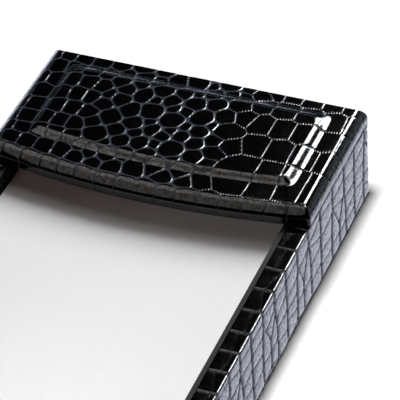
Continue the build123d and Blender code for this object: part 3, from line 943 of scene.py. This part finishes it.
straight_zone = smooth_step(*STRAIGHT_ZONE, flat_x)
round_zone = smooth_step(*ROUND_ZONE, flat_x)
softness = LEFT_SOFTNESS + (ROUND_SOFTNESS - LEFT_SOFTNESS) * round_zone
softness += (STRAIGHT_SOFTNESS - ROUND_SOFTNESS) * straight_zone
distance, across, _ = nearest_groove(lid_flat, lid_scales[:, :2], lid_scales[:, 2], softness)
lengthwise = straight_zone * (1 - across)
on_slope = np.exp(-((into_panel - SLOPE_MIDDLE) / SLOPE_REACH) ** 2)
creased = on_slope * lengthwise
width = SOFT_GROOVE_WIDTH + (STRAIGHT_GROOVE_WIDTH - SOFT_GROOVE_WIDTH) * straight_zone
depth = SOFT_GROOVE_DEPTH + (STRAIGHT_GROOVE_DEPTH - SOFT_GROOVE_DEPTH) * straight_zone
width *= 1 + SLOPE_WIDENING * creased
depth *= 1 + SLOPE_DEEPENING * creased
in_groove = 1 - smooth_step(0.0, 1.0, distance / width)
relief = -depth * in_groove - SCALE_DOME * np.exp(-np.maximum(distance, 0) / DOME_REACH)
pleats = lengthwise * (1 - across) * np.exp(-(distance / PLEAT_REACH) ** 2)
relief -= PLEAT_DEPTH * pleats * (1 + np.sin(2 * math.pi * flat_x / PLEAT_PITCH)) / 2
relief *= smooth_step(*FOOT_FADE, z - LID_FLOOR)
mask_power = MASK_POWER + (1 - MASK_POWER) * creased
dull = in_groove ** mask_power * (1 - PLEAT_GLOSS * lengthwise * (1 - on_slope))
print("relief from", round(float(relief.min()), 2), "to", round(float(relief.max()), 2), "mm")

# %% [markdown]
# Two edges have no lacquer. The low upright front side would mirror the white sheets below it, which
# the real one doesn't. Along the other sides, where the lid sits on the walls, a matt, dark band is
# painted shade for the shadow in the seam: it takes the grooves' colour and loses its lacquer.

# %% Lid edges without lacquer
BARE_HEIGHT, BARE_DEPTH, SEAM_SHADE_HEIGHT = 0.7, 1.0, 0.35

behind_front = smooth_step(0.0, BARE_DEPTH, front_gap)
bare = (1 - smooth_step(edge_height, edge_height + BARE_HEIGHT, z)) * (1 - behind_front)
# Painted shade along the seam: the lowest band of the lid's sides gets the grooves' matt colour.
seam_shade = (1 - smooth_step(HEM_TURN, HEM_TURN + SEAM_SHADE_HEIGHT, z - LID_FLOOR)) * behind_front
dull = np.maximum(dull, seam_shade)
print("points with less lacquer:", int((bare > 0).sum()), "in front,", int((seam_shade > 0).sum()), "on the seam")

# %% [markdown]
# Under the lid the leather turns in as a hem, stops, and goes back inside round the board, up over
# the pad and up again over the panel. These inner rings are never seen, but they close the skin, so
# that it is a solid sheet of leather with a hollow of the right shape.

# %% Lid hem and inside
HEM_WIDTH, LEATHER_THICKNESS = 12.0, 0.8
PAD_INSETS, PANEL_FOOT_INSETS, PANEL_TOP_INSETS = (4.0, 4.0, 5.4), (11.5, 8.3, 14.1), (13.2, 10.0, 15.8)

last_x, last_y = counts[0], counts[1]
front_rim, right_rim = number[:, 0, 0], number[-1, 1:, 0]
back_rim, left_rim = number[last_x - 1::-1, -1, 0], number[0, last_y - 1:0:-1, 0]
rim = np.concatenate([front_rim, right_rim, back_rim, left_rim])
rim_low = front_edge(lid_points[rim, 0], HEM_TURN)
share_x = lid_points[rim, 0] / (LID_HALF - HEM_TURN)
share_y = np.clip((lid_points[rim, 1] - rim_low) / (LID_BACK - HEM_TURN - rim_low), 0, 1)

board_top, pad_top, panel_top = [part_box(node)[1][2] / MM for node in ("lid_board", "lid_pad", "lid_panel")]
board_floor = LID_FLOOR + LEATHER_THICKNESS
hem_insets, board_insets = [HEM_WIDTH] * 3, [LEATHER_THICKNESS] * 3
rings = [(*hem_insets, LID_FLOOR), (*hem_insets, board_floor), (*board_insets, board_floor),
         (*board_insets, board_top), (*PAD_INSETS, pad_top), (*PANEL_FOOT_INSETS, pad_top),
         (*PANEL_TOP_INSETS, panel_top)]
loops, points, ring_quads = [rim], [lid_points], []
for side_inset, back_inset, front_inset, height in rings:
    ring_x = share_x * (LID_HALF - side_inset)
    ring_low = front_edge(ring_x, front_inset)
    ring_y = ring_low + share_y * (LID_BACK - back_inset - ring_low)
    loops.append(np.arange(len(rim)) + sum(len(p) for p in points))
    points.append(np.stack([ring_x, ring_y, np.full(len(rim), height)], 1))
for outer, inner in zip(loops, loops[1:]):
    ring_quads.append(np.stack([outer, inner, np.roll(inner, -1), np.roll(outer, -1)], 1))
print("hem and inside:", len(rings), "rings of", len(rim), "points")

# %% Lid piece
lid_quads = np.concatenate([quads] + ring_quads)
lid_skin = mesh_piece("lid_skin", np.concatenate(points), lid_quads, leather, [loops[-1][::-1]])
unseen = np.zeros(len(lid_skin.data.vertices) - len(lid_points))
press_in(lid_skin, *[np.concatenate([values, unseen]) for values in (relief, dull, bare)])
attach(lid_skin, "holder")
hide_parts("lid_leather")
print("lid_skin", len(lid_skin.data.polygons), "faces")

# %% [markdown]
# ## Sheets
# The block of sheets under the top one is really some 160 loose sheets that never lie quite in
# line. Each is a thin box of its own, shifted by a few tenths of a millimetre and turned by a
# hair, so the edge that shows in the dip of the front wall is made of real layers.

# %% Loose sheets
SHEET_COUNT = 164
SHEET_GAP_SHARE = 0.1
SHEET_SHIFT, SHEET_LIMIT = (0.16, 0.30), np.array([0.4, 0.8])
SHEET_TURN = 0.0012
stack_low, stack_high = [np.array(corner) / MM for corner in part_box("memo_stack")]
chance = np.random.default_rng(5)
pitch = (stack_high[2] - stack_low[2]) / SHEET_COUNT
corners = np.array([(-1, -1), (1, -1), (1, 1), (-1, 1)]) * (stack_high - stack_low)[:2] / 2
sheet_points, sheet_quads = [], []
for sheet in range(SHEET_COUNT):
    shift = chance.normal(0, SHEET_SHIFT).clip(-SHEET_LIMIT, SHEET_LIMIT)
    turn = chance.normal(0, SHEET_TURN)
    plan = corners @ np.array([(math.cos(turn), math.sin(turn)), (-math.sin(turn), math.cos(turn))]) + shift
    bottom = stack_low[2] + pitch * sheet
    base = len(sheet_points)
    for height in (bottom, bottom + pitch * (1 - SHEET_GAP_SHARE)):
        sheet_points += [(*corner, height) for corner in plan]
    sheet_quads += [(base + 3, base + 2, base + 1, base), (base + 4, base + 5, base + 6, base + 7)]
    sheet_quads += [(base + a, base + (a + 1) % 4, base + 4 + (a + 1) % 4, base + 4 + a) for a in range(4)]
memo_sheets = mesh_piece("memo_sheets", sheet_points, np.array(sheet_quads), paper)
memo_sheets.data.polygons.foreach_set("use_smooth", np.zeros(len(memo_sheets.data.polygons), bool))
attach(memo_sheets, "holder")
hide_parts("memo_stack")
print("memo_sheets:", SHEET_COUNT, "sheets,", round(pitch, 3), "mm apart")

# %% [markdown]
# ## Pieces that stay as the CAD has them
# The liners, the felt, the lid's lining and the hidden boards have the right shape already, and
# only need a finish. A weld and a small bevel take the knife edge off the ones that show.

# %% Finishes for the CAD pieces
BOARDS = ("floor_board", "right_wall_board", "left_wall_board", "back_wall_board", "front_wall_board",
          "lid_board")
WALL_LINERS = ("right_liner", "left_liner", "back_liner", "front_liner")
FINISHES = {
    **dict.fromkeys(BOARDS, fibreboard), **dict.fromkeys(WALL_LINERS, liner), "floor_liner": liner,
    "lid_pad": foam, "lid_panel": card, "lid_lining": lining, "corner_tongues": beech,
    "lid_tongues": beech, "base_felt": felt, "top_sheet": paper,
}
LINER_EDGE, FELT_EDGE = 0.25, 0.35
SOFT_EDGES = {**dict.fromkeys(WALL_LINERS, LINER_EDGE), "base_felt": FELT_EDGE}
WELD_DISTANCE, BEVEL_SEGMENTS = 0.00001, 2
for name, finish in FINISHES.items():
    nodes[name].data.materials.clear()
    nodes[name].data.materials.append(finish)
for name, width in SOFT_EDGES.items():
    weld = nodes[name].modifiers.new("weld", "WELD")
    weld.merge_threshold = WELD_DISTANCE
    bevel = nodes[name].modifiers.new("soft_edge", "BEVEL")
    bevel.width, bevel.segments, bevel.limit_method = width * MM, BEVEL_SEGMENTS, "ANGLE"
print("finishes on", len(FINISHES), "CAD pieces")
